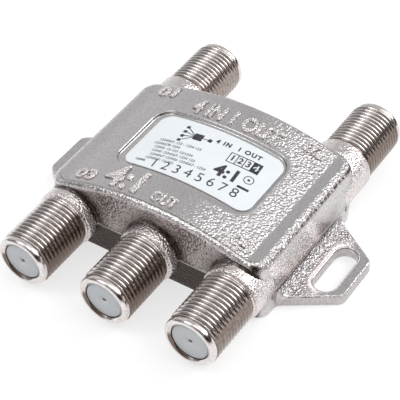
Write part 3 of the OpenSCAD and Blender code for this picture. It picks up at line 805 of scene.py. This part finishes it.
def about_axis(port, radius, reach, columns):
    """Points round a port's axis, at radii and distances out along Y in rows of stations."""
    axis_x, axis_z, sign, _ = port_frame(port)
    angle = circle(columns)
    x, z = axis_x + radius * np.cos(angle), axis_z + radius * np.sin(angle)
    return beside(x, sign * reach, z)


def rounded(end, radius, edge, count):
    """Stations (length, radius) over a rounded edge that draws in as it nears the end."""
    return [(end - edge * (1 - math.sin(a)), radius - edge * (1 - math.cos(a)))
            for a in quarter(count)]


def as_columns(stations):
    """The parts of the stations, each as a column."""
    return np.array(stations).T[:, :, None]


def ridge(phase):
    """Profile of one turn from 0 in the groove to 1 on the crest: a cosine raised to a power below
    one and cut off level near its top, so that the crest is broad and the groove narrow."""
    wave = 0.5 + 0.5 * np.cos(2 * math.pi * phase)
    return np.minimum(1.0, RIDGE_CUT * wave ** RIDGE_POWER)


def port_barrel(port):
    """A closed ring of sections about the port's axis: the collar from its faded root, the neck,
    the thread, the nose, the mouth, the bore and its step. The thread's radius is the groove plus
    the ridge at the phase of length over pitch plus turn over a full turn; on the two side lands it
    is smooth."""
    _, _, sign, nose_y = port_frame(port)
    nose = nose_y - HALF_D
    thread_end = nose - NOSE_BEVEL - NOSE_LEN
    thread_start = thread_end - THREAD_LEN
    collar_end = thread_start - NECK_LEN
    hidden_end = -COLLAR_ROOT - COLLAR_FADE_LEN
    stations = [(hidden_end, COLLAR_R - COLLAR_FADE), (-COLLAR_ROOT, COLLAR_R), (0.0, COLLAR_R)]
    stations += rounded(collar_end, COLLAR_R, COLLAR_ROUND, 4)
    stations += [(collar_end + 0.02, NECK_R + 0.1), (collar_end + 0.1, NECK_R),
                 (thread_start - 0.05, NECK_R)]
    before = len(stations)
    count = int(THREAD_LEN / THREAD_PITCH * STATIONS_PER_TURN)
    stations += [(s, GROOVE_R) for s in np.linspace(0, THREAD_LEN, count) + thread_start]
    after = len(stations)
    stations += [(thread_end + 0.05, GROOVE_R + 0.08), (thread_end + 0.12, LAND_R - 0.04),
                 (thread_end + 0.2, LAND_R)]
    stations += rounded(nose, LAND_R, NOSE_ROUND, 9)
    stations += [(nose, MOUTH_R + 0.46), (nose - 0.02, MOUTH_R + 0.4),
                 (nose - 0.27, MOUTH_R + 0.04), (nose - 0.33, MOUTH_R),
                 (nose - PLUG_RECESS, MOUTH_R)]
    mouth = len(stations)
    seat = nose - PLUG_RECESS - PLUG_LEN
    stations += [(nose - PLUG_RECESS - 1.0, MOUTH_R), (seat, MOUTH_R), (seat, SPIGOT_R),
                 (-WALL_T, SPIGOT_R), (hidden_end, SPIGOT_R + 0.3)]
    length, radius = as_columns(stations)
    index = np.arange(len(stations))[:, None]

    angle = circle(BARREL_COLUMNS)
    on_thread = (index >= before) & (index < after)
    start = smoothstep(0, 0.45, length - thread_start) * smoothstep(0, 0.3, thread_end - length)
    phase = (length - thread_start) / THREAD_PITCH + sign * angle / (2 * math.pi)
    turns = ridge(phase) * (CREST_R - GROOVE_R)
    from_side = np.abs(np.arctan2(np.sin(angle), np.abs(np.cos(angle))))
    threaded = smoothstep(LAND_ANGLE - LAND_BLEND, LAND_ANGLE + LAND_BLEND, from_side)
    left = LAND_RIDGE[port] * (1 - threaded)
    smooth = (LAND_R - GROOVE_R) * (1 - left - threaded)
    r = radius + (turns * (threaded + left) + smooth) * on_thread * start

    # Painted shade: the thread's grooves are darkened, and painted shade and reflection darken each
    # barrel's right side.
    depth = np.clip(1 - (r - GROOVE_R) / (CREST_R - GROOVE_R), 0, 1)
    in_groove = smoothstep(0.5, 0.95, depth) * on_thread * threaded
    shade = 0.08 + SIDE_SHADE[port] * smoothstep(0.5, 0.95, np.cos(angle)) * on_thread
    dark = np.clip(0.85 * in_groove + shade * (1 - in_groove), 0, 1)
    # Painted dark reflections on the nose's rounded bevel and the mouth's lip, and painted shade
    # inside the mouth and bore.
    on_bevel = (index >= after + 4) & (index <= after + 8)
    on_lip = (index >= mouth - 4) & (index <= mouth - 2)
    painted_reflection = 0.95 * on_bevel * bell(angle, math.radians(40), math.radians(10))
    painted_reflection = painted_reflection + on_lip * smoothstep(0.55, 0.85, np.cos(angle - math.radians(222)))
    dark = np.where(index >= mouth - 2, 0.9, np.maximum(dark, painted_reflection))
    on_collar = (length < collar_end + 0.1) & (index < before)
    return cast_piece("barrel_" + port, about_axis(port, r, HALF_D + length, BARREL_COLUMNS),
                      grid_faces(len(length), BARREL_COLUMNS, True),
                      np.where(on_collar, COLLAR_GRAIN, THREAD_GRAIN), dark, NICKEL_TURNED)


def wall_reach(x, z):
    """How far out along Y a port wall's skin lies: less past the rounded upright corners, at the
    rounded top edge and, by the draft, below the parting line."""
    past = np.clip(np.abs(x) - (HALF_W - CORNER_R), 0, CORNER_R)
    reach = HALF_D - CORNER_R + np.sqrt(CORNER_R ** 2 - past ** 2)
    over = np.clip(z - (top_height(np.clip(x, -HALF_W, HALF_W)) - EDGE_R), 0, EDGE_R)
    reach = reach - (EDGE_R - np.sqrt(EDGE_R ** 2 - over ** 2))
    return reach - DRAFT * np.clip((PARTING_Z - z) / PARTING_Z, 0, 1)


def collar_skirt(port):
    """The fillet between a port wall and its collar: at each angle a quarter circle, hollow side
    out, from the wall's own surface up to the collar, closed behind inside the metal."""
    turn = quarter(9)
    radius = COLLAR_R + SKIRT_R * (1 - np.sin(turn))
    radius = np.concatenate([radius, [COLLAR_R - 0.4, COLLAR_R - 0.4, radius[0]]])
    lift = np.concatenate([SKIRT_R * (1 - np.cos(turn)) - 0.03, [SKIRT_R - 0.1, -0.8, -0.8]])
    points = about_axis(port, radius[:, None], 1.0, SKIRT_COLUMNS)
    x, sign, z = np.moveaxis(points, -1, 0)
    x = np.clip(x, -HALF_W + 0.02, HALF_W - 0.02)
    y = sign * (wall_reach(x, z) + lift[:, None])
    # Painted shade and painted reflection, as on the wall behind it.
    return cast_piece("skirt_" + port, beside(x, y, z),
                      grid_faces(len(x), SKIRT_COLUMNS, True), SKIRT_GRAIN, painted_wall_shade(x, y, z))


def board_post(number, x, y):
    """A post under the ceiling, turned about its own axis: the column down to the board, the step
    that the board rests on, and the rounded stub that passes through the board."""
    low, high = node_box("circuit_board")
    top, end = ceiling_height(x) + 0.5, low[2] - STUB_STAND
    stations = [(top, POST_R), (high[2] + 0.06, POST_R), (high[2], POST_R - 0.06),
                (high[2], STUB_R)]
    stations += [(-up, radius) for up, radius in rounded(-end, STUB_R, STUB_ROUND, 5)]
    height, radius = as_columns(stations)
    angle = circle(POST_COLUMNS)
    points = beside(x + radius * np.cos(angle), y + radius * np.sin(angle), height)
    return cast_piece(f"board_post_{number}", points, capped_faces(len(height), POST_COLUMNS),
                      SIDE_GRAIN, 0.1)


# Insulators and the label

def insulator(port):
    """A closed ring of sections about the port's axis: spigot, seat, head, rounded face, dimple and
    entry hole, and the bore behind it."""
    node = "insulator_" + port
    low, high = node_box(node)
    back, front = sorted((abs(low[1]), abs(high[1])))
    head_r = (high[0] - low[0]) / 2
    seat = front - PLUG_LEN
    spigot_r = SPIGOT_R - SPIGOT_GAP
    stations = [(back, spigot_r), (seat, spigot_r), (seat, head_r), (front - 0.2, head_r),
                (front - 0.06, head_r - 0.05), (front, head_r - 0.2), (front, DIMPLE_R),
                (front - 0.02, 0.9), (front - 0.06, 0.7), (front - 0.11, 0.5),
                (front - 0.17, 0.38), (front - 0.26, ENTRY_R), (front - 0.5, ENTRY_R),
                (front - 0.5, CONTACT_BORE_R), (back, CONTACT_BORE_R)]
    length, radius = as_columns(stations)
    return new_piece("plug_" + port, about_axis(port, radius, length, PLUG_COLUMNS),
                     grid_faces(len(length), PLUG_COLUMNS, True), INSULATOR, node,
                     "insulator_plastic")


def label_height(x):
    """Height of the label's face, which follows the floor of the recess."""
    return arch_height(x, BODY_H - LABEL_TOP)


def label():
    """A closed film of rounded-rectangle rings: out along the face, round its edge and back
    beneath."""
    outline = (*LABEL_HALF, LABEL_R)
    inner = middle_ring(*LABEL_HALF, 0.5, 0.2)
    out = blend_rings(inner, outline, np.append(np.linspace(0, 0.985, 14), [0.997, 1.0, 1.0]))
    back = blend_rings(outline, inner, np.linspace(0, 1, 8)[1:])
    x, y = rings(*np.concatenate([out, back], axis=1))
    x = x + LABEL_X
    drop = np.concatenate([np.zeros(14), [0.01, 0.04], np.full(8, LABEL_T)])[:, None]
    return new_piece("label_face", beside(x, y, label_height(x) - drop),
                     capped_faces(*x.shape), LABEL_FILM, "label", "label_film")


casting_body()
for side in (-1, 1):
    ear(side)
for number, (x, y) in enumerate(((-1, -1), (1, -1), (-1, 1), (1, 1)), 1):
    board_post(number, x * POST_X, y * POST_Y)
for port in PORTS:
    port_barrel(port)
    collar_skirt(port)
    insulator(port)
label()


# Lettering

# Height of a capital, as a share of the font's size
CAP_SHARE = 0.69


def text_mesh(name, words, height, thickness, bevel=0.0, spacing=1.0, fatten=0.0, detail=4):
    """A line of text as a closed solid mesh about the origin, in millimetres."""
    curve = bpy.data.curves.new(name, "FONT")
    curve.body = words
    curve.size = height / CAP_SHARE
    curve.align_x = "CENTER"
    curve.align_y = "CENTER"
    curve.extrude = thickness / 2
    curve.offset = fatten
    curve.bevel_depth = bevel
    curve.bevel_resolution = 2
    curve.space_character = spacing
    curve.resolution_u = detail
    holder = add_object(name + "_curve", curve)
    depsgraph = bpy.context.evaluated_depsgraph_get()
    shape = bpy.data.meshes.new_from_object(holder.evaluated_get(depsgraph))
    bpy.data.objects.remove(holder)
    shape.name = name
    return shape


def lay_text(name, words, place, height, thickness, surface, material, node, slot_name, lift,
             turn=0.0, width=None, **style):
    """Bends a line of text over a surface: each point keeps its plan place, turned about the text's
    middle, and its height is the surface's height there, plus the lift and its own height in the
    solid. A width, where given, squeezes the line to that length. Painted shade darkens the plate
    round the text's foot."""
    shape = text_mesh(name, words, height, thickness, **style)
    points = np.empty(len(shape.vertices) * 3, np.float32)
    shape.vertices.foreach_get("co", points)
    points = points.reshape(-1, 3)
    if width:
        points[:, 0] *= width / np.ptp(points[:, 0])
    # Painted shade at the foot of the text, where it meets the surface.
    foot = 0.35 * (1 - smoothstep(0.0, thickness, points[:, 2]))
    points[:, :2] = points[:, :2] @ turned(turn) + place
    points[:, 2] += surface(points[:, 0]) + lift
    set_points(shape, points)
    add_fields(shape, grain=np.full(len(foot), MARK_GRAIN), dark=foot)
    shape.update()
    return dress(add_object(name, shape), material, node)


MARK_T = 0.12
MARK_BEVEL = 0.2
MARK_LIFT = 0.06


def raised_mark(name, words, place, height, width, fatten=0.17):
    """Generic raised lettering on the casting's top, sunk a little into it."""
    return lay_text(name, words, place, height, MARK_T, top_height, NICKEL_RUBBED, "housing",
                    "nickel_casting", MARK_LIFT, bevel=MARK_BEVEL, fatten=fatten - MARK_BEVEL,
                    width=width)


raised_mark("mark_rear_row", "4 IN 1 OUT", (0.5, 9.5), 3.0, 16.4, 0.22)
raised_mark("mark_ratio", "4:1", (-6.7, -10.5), 4.6, 6.8, 0.24)
raised_mark("mark_rear_left", "01", (-14.2, 11.6), 2.1, 3.9)
raised_mark("mark_rear_right", "02", (13.9, 11.5), 2.1, 3.9)
raised_mark("mark_front_left", "03", (-14.2, -11.5), 2.1, 3.9)
raised_mark("mark_front_middle", "OUT", (1.0, -11.7), 2.0, 4.6)
raised_mark("mark_front_right", "04", (15.0, -11.5), 2.1, 3.7)


# Print on the label. Places are in millimetres from the middle of the body, along the print's own
# lines, which lie a little askew.

PRINT_TURN = math.radians(4.5)
PRINT_T = 0.02


def print_strokes(name, strokes):
    """Printed lines as one mesh: each stroke (start x, start y, end x, end y, width) is a thin bar
    cut into short lengths, whose four edges follow the label's face."""
    points, faces, first = [], [], 0
    for x0, y0, x1, y1, width in strokes:
        length = math.hypot(x1 - x0, y1 - y0)
        count = max(2, int(length / 0.8) + 2)
        along = np.linspace(0, 1, count)[:, None]
        across = np.array([y0 - y1, x1 - x0]) / length * width / 2
        middle = np.array([x0, y0]) + along * np.array([x1 - x0, y1 - y0])
        plan = np.stack([middle + across * k for k in (-1, 1, 1, -1)], axis=1)
        plan = plan.reshape(-1, 2) @ turned(PRINT_TURN)
        lift = np.tile([0.0, 0.0, PRINT_T, PRINT_T], count) + 0.005
        points.append(np.column_stack([plan, label_height(plan[:, 0]) + lift]))
        ends = np.array([[0, 1, 2, 3], 4 * count - 1 - np.arange(4)])
        faces.append(first + np.concatenate([grid_faces(count, 4), ends[:, ::-1]]))
        first += 4 * count
    return new_piece(name, np.concatenate(points), np.concatenate(faces), PRINT_BLACK, "label",
                     "label_film")


def print_text(name, words, place, height, material=PRINT_BLACK, **style):
    """A line of generic numbers or words printed on the label."""
    place = np.array(place) @ turned(PRINT_TURN)
    return lay_text(name, words, place, height, PRINT_T, label_height, material, "label",
                    "label_film", 0.015, PRINT_TURN, **style)


def print_diagram():
    """Four inputs whose lines meet in a block, and a smaller block behind it."""
    join = 3.55
    inputs = [(-5.2, v) for v in (5.2, 4.1, 3.0, 1.9)]
    strokes = [(u - 0.3, v, u + 0.3, v, 0.6) for u, v in inputs]
    strokes += [(u, v, -2.9, join, 0.14) for u, v in inputs]
    strokes += [(-3.3, join, -1.7, join, 1.5), (-1.7, join, -0.5, join, 0.14),
                (-0.7, join, 0.0, join, 0.7)]
    print_strokes("print_diagram", strokes)


def print_lines():
    """Lines of small plain numbers, set from the left."""
    lines = ("1234567: 123 - 1234 123", "12345678 1234", "12345: 12-123 12/1234",
             "12345 1234567: 1234 123", "1234567 123456 1234567 - 1234", "1234567: 12 123")
    character = 0.407
    for number, words in enumerate(lines):
        middle = (-9.05 + 0.08 * number + character * len(words) / 2, 1.05 - 0.93 * number)
        print_text(f"print_line_{number + 1}", words, middle, 0.52, PRINT_GREY, detail=2,
                   fatten=0.015)


def print_cells():
    """A row of four numbered cells, the last one filled."""
    left, right, low, high = 4.0, 9.5, 0.75, 2.85
    edges = np.linspace(left, right, 5)
    middle = (low + high) / 2
    strokes = [(left - 0.07, v, right + 0.07, v, 0.15) for v in (low, high)]
    strokes += [(u, low, u, high, 0.15) for u in edges]
    strokes += [(edges[3], middle, right, middle, high - low)]
    print_strokes("print_cells", strokes)
    for number in range(4):
        print_text(f"print_cell_{number + 1}", str(number + 1),
                   ((edges[number] + edges[number + 1]) / 2, middle), 1.2,
                   LABEL_FILM if number == 3 else PRINT_BLACK, fatten=0.04)


def print_socket():
    """A ring with a dot in it, and a bar underneath."""
    x, y, radius, step = 9.0, -1.0, 0.8, 0.56
    strokes = [(x + radius * math.cos(a), y + radius * math.sin(a),
                x + radius * math.cos(a + step), y + radius * math.sin(a + step), 0.14)
               for a in circle(12)]
    strokes += [(x - 0.2, y, x + 0.2, y, 0.4), (8.0, -3.0, 10.0, -3.0, 0.45)]
    print_strokes("print_socket", strokes)


print_diagram()
print_text("print_title", "4 IN  1 OUT", (4.6, 4.0), 0.85, spacing=1.25, fatten=0.05)
print_lines()
print_text("print_small_number", "123456", (-8.6, -4.45), 0.42, detail=2, fatten=0.02)
print_cells()
print_text("print_ratio", "4:1", (5.5, -1.6), 2.4, fatten=0.12, spacing=1.05)
print_socket()
for number in range(8):
    print_text(f"print_numeral_{number + 1}", str(number + 1), (-5.9 + 2.03 * number, -4.6), 1.9,
               fatten=-0.015, detail=6)


# Materials of the CAD nodes that stay

def finish_nodes():
    """Dresses every CAD node that is still shown in the material of its record slot."""
    finishes = {"tinned_sheet": TIN, "contact_bronze": CONTACT,
                "board_laminate": plastic("solder_mask", (0.05, 0.24, 0.10), 0.3),
                "ferrite": plastic("ferrite", (0.10, 0.09, 0.09), 0.6),
                "moulded_black": plastic("moulded_black", (0.03, 0.03, 0.035), 0.5),
                "ceramic_tan": plastic("ceramic_tan", (0.60, 0.42, 0.26), 0.45),
                "can_aluminium": metal("can_aluminium", (0.78, 0.79, 0.80), 0.3)}
    slots = {row["node"]: row["material_slot"] for row in frame["record"]["subparts"]}
    for node, piece in frame["nodes"].items():
        if piece.hide_render:
            continue
        piece.data.materials.clear()
        piece.data.materials.append(finishes[slots[node]])


finish_nodes()


# Floor

# Its half side in metres, and how far it lies under the object in millimetres
FLOOR_HALF = 3.0
FLOOR_DROP = 0.03

# Its grey, and the share of white that camera, mirror and glass rays see whatever the light on it
FLOOR_GREY = (0.44, 0.44, 0.44)
FLOOR_GLOW = 0.63


def floor():
    """A plain pale floor just under the object, which takes its shadow and can't be seen from
    beneath."""
    corners = [(u * FLOOR_HALF, v * FLOOR_HALF, -FLOOR_DROP * MM)
               for u, v in ((-1, -1), (1, -1), (1, 1), (-1, 1))]
    mesh = bpy.data.meshes.new("floor")
    mesh.from_pydata(corners, [], [(0, 1, 2, 3)])
    material, tree, shader, _ = new_material("floor_paper")
    rays = add_node(tree, "LightPath").outputs
    seen = math_node(tree, "MAXIMUM", rays["Is Camera Ray"], rays["Is Glossy Ray"])
    seen = math_node(tree, "MAXIMUM", seen, rays["Is Transmission Ray"])
    glow = math_node(tree, "MULTIPLY", seen, FLOOR_GLOW)
    feed(tree, shader, Base_Color=FLOOR_GREY, Roughness=1.0, Specular_IOR_Level=0.0,
         Emission_Color=(1.0, 1.0, 1.0), Emission_Strength=glow)
    beneath = add_node(tree, "NewGeometry").outputs["Backfacing"]
    clear = add_node(tree, "BsdfTransparent").outputs[0]
    one_sided = fill(tree, add_node(tree, "MixShader"), beneath, shader.outputs[0], clear)
    feed(tree, tree.get_output_node("CYCLES"), Surface=one_sided)
    mesh.materials.append(material)
    piece = add_object("floor", mesh)


# Light

# Distance of the softboxes in metres, and for each its direction from the object, width and height
# in metres, and radiance
LAMP_DISTANCE = 1.0
SOFTBOXES = {"right_box": ((0.53, 0.58, 0.62), 0.42, 0.48, 6.3),
             "side_box": ((0.68, 0.04, 0.73), 0.44, 0.36, 2.2),
             "top_box": ((0.25, -0.22, 0.94), 0.50, 0.46, 1.3),
             "front_box": ((-0.36, -0.44, 0.82), 0.40, 0.60, 2.9)}

# Studio walls: level of the plain wall, and patches as (direction, cosine where the patch starts,
# cosine where it is full, how much light it takes away, or adds where below zero)
WALL_LEVEL = 0.59
WALL_PATCHES = (((0.40, -0.80, 0.40), 0.80, 0.93, 0.30),
                ((-0.85, -0.45, 0.25), 0.84, 0.95, 0.34),
                ((0.80, 0.58, 0.12), 0.91, 0.97, 0.56),
                ((0.88, -0.30, 0.22), 0.87, 0.95, 0.45),
                ((0.34, 0.58, 0.74), 0.988, 0.995, 0.55),
                ((0.18, 0.58, 0.79), 0.978, 0.994, -0.62),
                ((0.22, 0.20, 0.95), 0.93, 0.98, -0.50),
                ((-0.90, 0.40, 0.15), 0.60, 0.95, -0.10))


def softbox(name, direction, width, height, radiance):
    """An area lamp at the lamp distance along a direction from the object, facing it. Its power is
    the radiance times pi times its area."""
    lamp = bpy.data.lights.new(name, "AREA")
    lamp.shape = "RECTANGLE"
    lamp.size = width
    lamp.size_y = height
    lamp.energy = radiance * math.pi * width * height
    holder = add_object(name, lamp)
    toward = Vector(direction).normalized()
    holder.location = toward * LAMP_DISTANCE
    holder.rotation_euler = toward.to_track_quat("Z", "Y").to_euler()


def studio():
    """Softboxes in a grey room. The room's light is a plain level less its dark patches, each of
    which deepens with the cosine between the ray and the patch's middle."""
    world = bpy.data.worlds.new("studio")
    bpy.context.scene.world = world
    world.use_nodes = True
    tree = world.node_tree
    tree.nodes.clear()
    ray = add_node(tree, "TexCoord").outputs["Generated"]
    level = WALL_LEVEL
    for direction, start, full, depth in WALL_PATCHES:
        dot = add_node(tree, "VectorMath")
        dot.operation = "DOT_PRODUCT"
        fill(tree, dot, ray, Vector(direction).normalized())
        patch = add_node(tree, "MapRange", Value=dot.outputs["Value"], From_Min=start,
                         From_Max=full, To_Max=depth)
        patch.interpolation_type = "SMOOTHSTEP"
        level = math_node(tree, "SUBTRACT", level, patch.outputs[0])
    background = add_node(tree, "Background", Color=math_node(tree, "MAXIMUM", level, 0.0))
    add_node(tree, "OutputWorld", Surface=background.outputs[0])
    for name, box in SOFTBOXES.items():
        softbox(name, *box)


# Camera, in degrees, millimetres and pixels of the photograph; its sensor is in millimetres

CAMERA_AZIMUTH = 36.123
CAMERA_ELEVATION = 43.712
CAMERA_ROLL = -3.509
CAMERA_TARGET = (0.811, -0.940, 7.0)
CAMERA_DISTANCE = 244.13
CAMERA_FOCAL_PX = 1521.2
CAMERA_CENTRE_PX = (207.09, 192.49)
IMAGE_PX = 400
SENSOR = 36.0


def camera():
    """The photograph's camera: it looks at the target from the azimuth and elevation, rolled about
    its axis, with the lens and shift that put the optical axis at its pixel."""
    azimuth, elevation, roll = (math.radians(v)
                                for v in (CAMERA_AZIMUTH, CAMERA_ELEVATION, CAMERA_ROLL))
    turn = (Matrix.Rotation(azimuth, 4, "Z") @ Matrix.Rotation(math.pi / 2 - elevation, 4, "X")
            @ Matrix.Rotation(roll, 4, "Z"))
    data = bpy.data.cameras.new("camera")
    data.sensor_width = SENSOR
    data.lens = CAMERA_FOCAL_PX / IMAGE_PX * SENSOR
    data.shift_x = (IMAGE_PX / 2 - CAMERA_CENTRE_PX[0]) / IMAGE_PX
    data.shift_y = (CAMERA_CENTRE_PX[1] - IMAGE_PX / 2) / IMAGE_PX
    data.clip_start = 0.01
    data.clip_end = 20
    holder = add_object("camera", data)
    place = (Vector(CAMERA_TARGET) + turn.col[2].xyz * CAMERA_DISTANCE) * MM
    holder.matrix_world = Matrix.Translation(place) @ turn
    bpy.context.scene.camera = holder


floor()
studio()
camera()
bpy.context.scene.view_settings.view_transform = "Standard"
